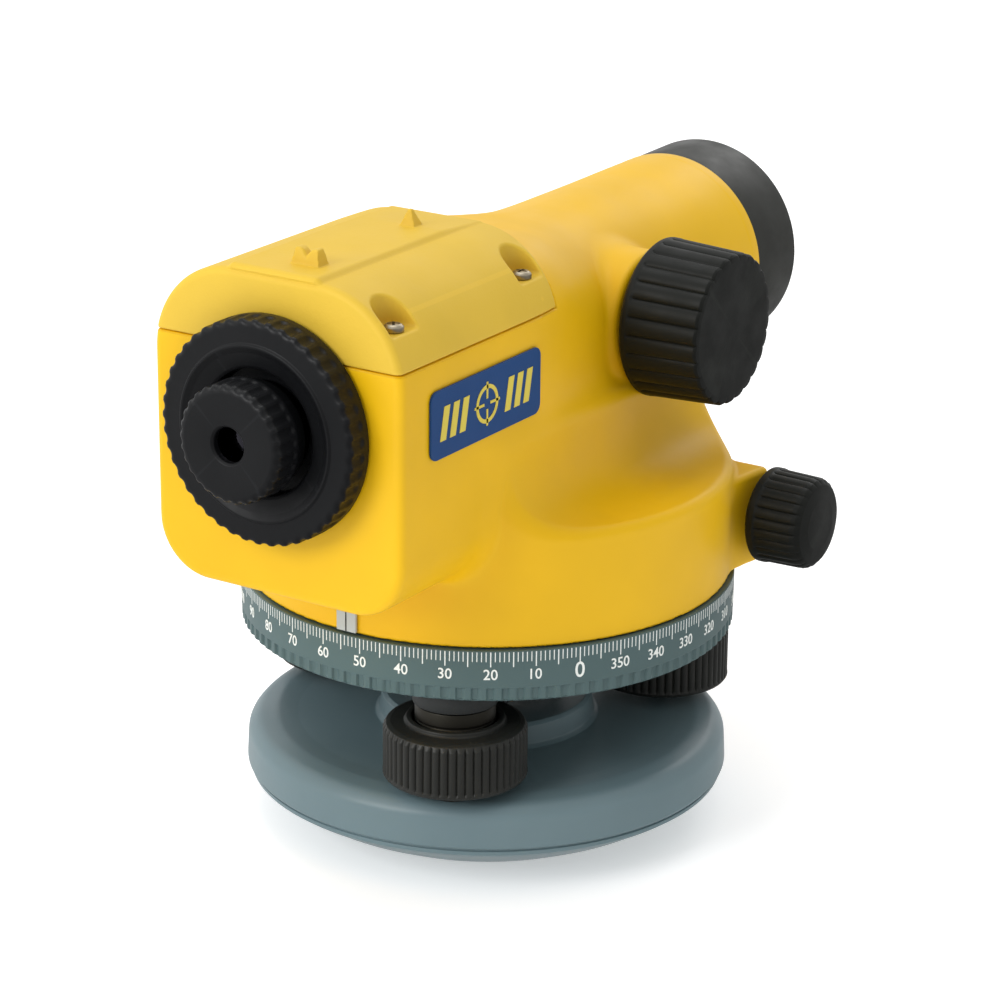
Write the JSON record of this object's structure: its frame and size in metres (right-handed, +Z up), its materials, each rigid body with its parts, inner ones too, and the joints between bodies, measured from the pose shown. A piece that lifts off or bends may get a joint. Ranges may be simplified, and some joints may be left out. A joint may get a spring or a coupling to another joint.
{
  "type": "automatic level",
  "caption": "Surveying level: telescope on a drum with a degree circle, three levelling screws, focus, tangent and eyepiece knobs, circular vial with flip mirror.",
  "frame": {"origin": "centre of the base's flat foot, on the foot plane", "axes": "+Z up along the vertical spindle, +Y along the telescope towards the objective, +X towards the focus knob"},
  "size_m": [0.142, 0.2018, 0.1542],
  "materials": {
    "grey_paint": "satin",
    "dark_alloy": "black anodised",
    "steel": "machined",
    "brass": "machined",
    "yellow_paint": "satin",
    "black_plastic": "matte",
    "black_metal": "satin",
    "index_white": "satin",
    "badge_blue": "gloss",
    "optical_glass": "polished",
    "mirror": "polished"
  },
  "bodies": {
    "base": {"base_plate": "grey_paint", "tripod_bush": "brass", "ball_retainer_a": "steel", "ball_retainer_b": "steel", "ball_retainer_c": "steel"},
    "tilt_spring": {"preload_spring": "steel"},
    "tribrach": {"tribrach_plate": "dark_alloy", "foot_bush_a": "steel", "foot_bush_b": "steel", "foot_bush_c": "steel", "spindle": "steel"},
    "circle": {"horizontal_circle": "grey_paint"},
    "clutch": {"worm_wheel": "brass", "clutch_spring": "steel"},
    "alidade": {"main_housing": "yellow_paint", "top_cover": "yellow_paint", "cover_screw_1": "steel", "cover_screw_2": "steel", "cover_screw_3": "steel", "cover_screw_4": "steel", "index_plate": "index_white", "badge": "badge_blue", "objective_hood": "black_metal", "objective_crown_lens": "optical_glass", "objective_flint_lens": "optical_glass", "compensator_frame": "dark_alloy", "roof_prism": "optical_glass", "damping_magnet": "dark_alloy", "reticle_cell": "brass", "reticle_glass": "optical_glass", "eyepiece_ring": "black_plastic", "focus_bush": "brass", "vial_housing": "black_plastic", "vial_glass": "optical_glass"},
    "tangent": {"tangent_shaft": "steel", "tangent_worm": "brass", "tangent_knob_right": "black_plastic", "tangent_knob_left": "black_plastic"},
    "focus": {"focus_pinion": "steel", "focus_knob": "black_plastic"},
    "focus_carriage": {"focus_carriage": "dark_alloy", "focusing_lens": "optical_glass", "focus_rack": "brass"},
    "eyepiece": {"eyepiece_cell": "dark_alloy", "eye_lens": "optical_glass", "field_lens": "optical_glass"},
    "eyepiece_knob": {"eyepiece_knob": "black_plastic"},
    "pendulum": {"compensator_pendulum": "dark_alloy", "pendulum_prism": "optical_glass"},
    "mirror": {"mirror_frame": "black_plastic", "mirror_glass": "mirror"},
    "foot_a_stud": {"foot_ball_a": "steel"},
    "foot_a_knob": {"foot_screw_a": "steel", "foot_knob_a": "black_plastic"},
    "foot_b_stud": {"foot_ball_b": "steel"},
    "foot_b_knob": {"foot_screw_b": "steel", "foot_knob_b": "black_plastic"},
    "foot_c_stud": {"foot_ball_c": "steel"},
    "foot_c_knob": {"foot_screw_c": "steel", "foot_knob_c": "black_plastic"}
  },
  "joints": [
    {"name": "level_roll", "type": "hinge", "parent": "base", "child": "tilt_spring", "pos_m": [0, 0, 0.015], "axis": [-0.4035, 0.915, 0], "range_deg": [-2, 2]},
    {"name": "level_pitch", "type": "hinge", "parent": "tilt_spring", "child": "tribrach", "pos_m": [-0.00908, 0.02059, 0.015], "axis": [-0.915, -0.4035, 0], "range_deg": [-2, 2]},
    {"name": "foot_a_travel", "type": "slide", "parent": "tribrach", "child": "foot_a_stud", "axis": [0, 0, -1], "range_m": [-0.00237, 0.00237]},
    {"name": "foot_a_turn", "type": "hinge", "parent": "foot_a_stud", "child": "foot_a_knob", "pos_m": [0.01816, -0.04117, 0.03], "axis": [0, 0, 1], "range_deg": [-850, 850]},
    {"name": "foot_b_travel", "type": "slide", "parent": "tribrach", "child": "foot_b_stud", "axis": [0, 0, -1], "range_m": [-0.00137, 0.00137]},
    {"name": "foot_b_turn", "type": "hinge", "parent": "foot_b_stud", "child": "foot_b_knob", "pos_m": [0.02658, 0.03631, 0.03], "axis": [0, 0, 1], "range_deg": [-491, 491]},
    {"name": "foot_c_travel", "type": "slide", "parent": "tribrach", "child": "foot_c_stud", "axis": [0, 0, -1], "range_m": [-0.00137, 0.00137]},
    {"name": "foot_c_turn", "type": "hinge", "parent": "foot_c_stud", "child": "foot_c_knob", "pos_m": [-0.04474, 0.00486, 0.03], "axis": [0, 0, 1], "range_deg": [-491, 491]},
    {"name": "circle_turn", "type": "hinge", "parent": "tribrach", "child": "circle", "pos_m": [0, 0, 0.054], "axis": [0, 0, 1], "continuous": true},
    {"name": "coarse_turn", "type": "hinge", "parent": "tribrach", "child": "clutch", "pos_m": [0, 0, 0.0743], "axis": [0, 0, 1], "continuous": true},
    {"name": "fine_turn", "type": "hinge", "parent": "clutch", "child": "alidade", "pos_m": [0, 0, 0.0743], "axis": [0, 0, 1], "continuous": true},
    {"name": "tangent_spin", "type": "hinge", "parent": "alidade", "child": "tangent", "pos_m": [0, 0.0319, 0.0743], "axis": [1, 0, 0], "continuous": true},
    {"name": "focus_turn", "type": "hinge", "parent": "alidade", "child": "focus", "pos_m": [0.031, 0.0233, 0.1201], "axis": [1, 0, 0], "range_deg": [-152, 152]},
    {"name": "focus_slide", "type": "slide", "parent": "alidade", "child": "focus_carriage", "axis": [0, 1, 0], "range_m": [-0.0095, 0.0095]},
    {"name": "eyepiece_slide", "type": "slide", "parent": "alidade", "child": "eyepiece", "axis": [0, -1, 0], "range_m": [-0.0022, 0.0022]},
    {"name": "eyepiece_turn", "type": "hinge", "parent": "eyepiece", "child": "eyepiece_knob", "pos_m": [0, -0.093, 0.1166], "axis": [0, -1, 0], "range_deg": [-331, 331]},
    {"name": "compensator_swing", "type": "hinge", "parent": "alidade", "child": "pendulum", "pos_m": [0, -0.03, 0.1296], "axis": [1, 0, 0], "range_deg": [-1.5, 1.5]},
    {"name": "mirror_flip", "type": "hinge", "parent": "alidade", "child": "mirror", "pos_m": [-0.0465, 0.0044, 0.0974], "axis": [1, 0, 0], "range_deg": [-40, 40]}
  ],
  "couplings": [
    {"joint": "foot_a_turn", "follows": "level_pitch", "ratio": 424.12},
    {"joint": "foot_a_travel", "follows": "level_pitch", "m_per_rad": 0.0675},
    {"joint": "foot_b_turn", "follows": "level_roll", "ratio": -244.86},
    {"joint": "foot_b_travel", "follows": "level_roll", "m_per_rad": -0.038971},
    {"joint": "foot_c_turn", "follows": "level_roll", "ratio": 244.86},
    {"joint": "foot_c_travel", "follows": "level_roll", "m_per_rad": 0.038971},
    {"joint": "tangent_spin", "follows": "fine_turn", "ratio": -56},
    {"joint": "focus_turn", "follows": "focus_slide", "rad_per_m": 277.78},
    {"joint": "eyepiece_turn", "follows": "eyepiece_slide", "rad_per_m": -2618}
  ]
}
